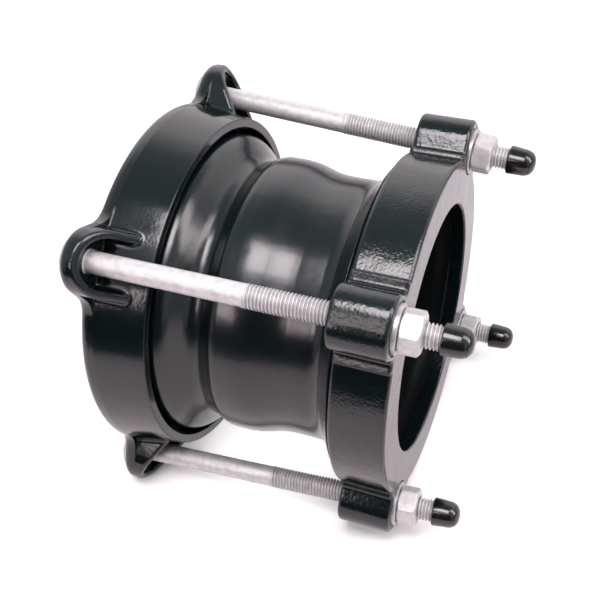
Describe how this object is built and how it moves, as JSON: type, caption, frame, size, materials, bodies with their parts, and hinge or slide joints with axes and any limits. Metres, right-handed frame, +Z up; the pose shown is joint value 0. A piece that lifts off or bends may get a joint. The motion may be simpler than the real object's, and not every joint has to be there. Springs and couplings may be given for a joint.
{
  "type": "reducing pipe coupling",
  "caption": "Stepped mechanical coupling that joins a larger plain-ended pipe to a smaller one, with wedge gaskets squeezed between a flared sleeve and bolted end rings.",
  "frame": {"origin": "on the coupling's axis, in the plane of the small end ring's outer face", "axes": "+X along the axis, out of the small end; +Z up as the coupling lies; -Y towards the viewer"},
  "size_m": [0.1985, 0.198, 0.198],
  "materials": {
    "sleeve_coating": "glossy black coating over pressed steel",
    "ring_coating": "glossy black coating over ductile iron castings",
    "gasket_rubber": "matt black moulded rubber",
    "bolt_zinc": "dull galvanised steel",
    "washer_zinc": "bright galvanised steel",
    "nut_zinc": "dull galvanised steel",
    "cap_vinyl": "glossy dipped vinyl"
  },
  "bodies": {
    "coupling": {"centre_sleeve": "sleeve_coating", "large_end_ring": "ring_coating", "small_end_ring": "ring_coating", "large_gasket": "gasket_rubber", "small_gasket": "gasket_rubber", "tie_bolt_upper_rear": "bolt_zinc", "tie_bolt_upper_front": "bolt_zinc", "tie_bolt_lower_front": "bolt_zinc", "tie_bolt_lower_rear": "bolt_zinc"},
    "washer_upper_rear": {"washer_upper_rear": "washer_zinc"},
    "nut_upper_rear": {"nut_upper_rear": "nut_zinc"},
    "thread_cap_upper_rear": {"thread_cap_upper_rear": "cap_vinyl"},
    "washer_upper_front": {"washer_upper_front": "washer_zinc"},
    "nut_upper_front": {"nut_upper_front": "nut_zinc"},
    "thread_cap_upper_front": {"thread_cap_upper_front": "cap_vinyl"},
    "washer_lower_front": {"washer_lower_front": "washer_zinc"},
    "nut_lower_front": {"nut_lower_front": "nut_zinc"},
    "thread_cap_lower_front": {"thread_cap_lower_front": "cap_vinyl"},
    "washer_lower_rear": {"washer_lower_rear": "washer_zinc"},
    "nut_lower_rear": {"nut_lower_rear": "nut_zinc"},
    "thread_cap_lower_rear": {"thread_cap_lower_rear": "cap_vinyl"}
  },
  "joints": [
    {"name": "nut_travel_upper_rear", "type": "slide", "parent": "coupling", "child": "washer_upper_rear", "axis": [0.9981, -0.0432, -0.0432], "range_m": [0, 0.00613]},
    {"name": "nut_spin_upper_rear", "type": "hinge", "parent": "washer_upper_rear", "child": "nut_upper_rear", "pos_m": [-0.001, 0.06873, 0.06873], "axis": [0.9981, -0.0432, -0.0432], "range_deg": [0, 1260.5]},
    {"name": "cap_pull_upper_rear", "type": "slide", "parent": "coupling", "child": "thread_cap_upper_rear", "axis": [0.9981, -0.0432, -0.0432], "range_m": [0, 0.025]},
    {"name": "nut_travel_upper_front", "type": "slide", "parent": "coupling", "child": "washer_upper_front", "axis": [0.9981, 0.0432, -0.0432], "range_m": [0, 0.00613]},
    {"name": "nut_spin_upper_front", "type": "hinge", "parent": "washer_upper_front", "child": "nut_upper_front", "pos_m": [-0.001, -0.06873, 0.06873], "axis": [0.9981, 0.0432, -0.0432], "range_deg": [0, 1260.5]},
    {"name": "cap_pull_upper_front", "type": "slide", "parent": "coupling", "child": "thread_cap_upper_front", "axis": [0.9981, 0.0432, -0.0432], "range_m": [0, 0.025]},
    {"name": "nut_travel_lower_front", "type": "slide", "parent": "coupling", "child": "washer_lower_front", "axis": [0.9981, 0.0432, 0.0432], "range_m": [0, 0.00613]},
    {"name": "nut_spin_lower_front", "type": "hinge", "parent": "washer_lower_front", "child": "nut_lower_front", "pos_m": [-0.001, -0.06873, -0.06873], "axis": [0.9981, 0.0432, 0.0432], "range_deg": [0, 1260.5]},
    {"name": "cap_pull_lower_front", "type": "slide", "parent": "coupling", "child": "thread_cap_lower_front", "axis": [0.9981, 0.0432, 0.0432], "range_m": [0, 0.025]},
    {"name": "nut_travel_lower_rear", "type": "slide", "parent": "coupling", "child": "washer_lower_rear", "axis": [0.9981, -0.0432, 0.0432], "range_m": [0, 0.00613]},
    {"name": "nut_spin_lower_rear", "type": "hinge", "parent": "washer_lower_rear", "child": "nut_lower_rear", "pos_m": [-0.001, 0.06873, -0.06873], "axis": [0.9981, -0.0432, 0.0432], "range_deg": [0, 1260.5]},
    {"name": "cap_pull_lower_rear", "type": "slide", "parent": "coupling", "child": "thread_cap_lower_rear", "axis": [0.9981, -0.0432, 0.0432], "range_m": [0, 0.025]}
  ],
  "couplings": [
    {"joint": "nut_spin_upper_rear", "follows": "nut_travel_upper_rear", "rad_per_m": 3590.4},
    {"joint": "nut_spin_upper_front", "follows": "nut_travel_upper_front", "rad_per_m": 3590.4},
    {"joint": "nut_spin_lower_front", "follows": "nut_travel_lower_front", "rad_per_m": 3590.4},
    {"joint": "nut_spin_lower_rear", "follows": "nut_travel_lower_rear", "rad_per_m": 3590.4}
  ]
}
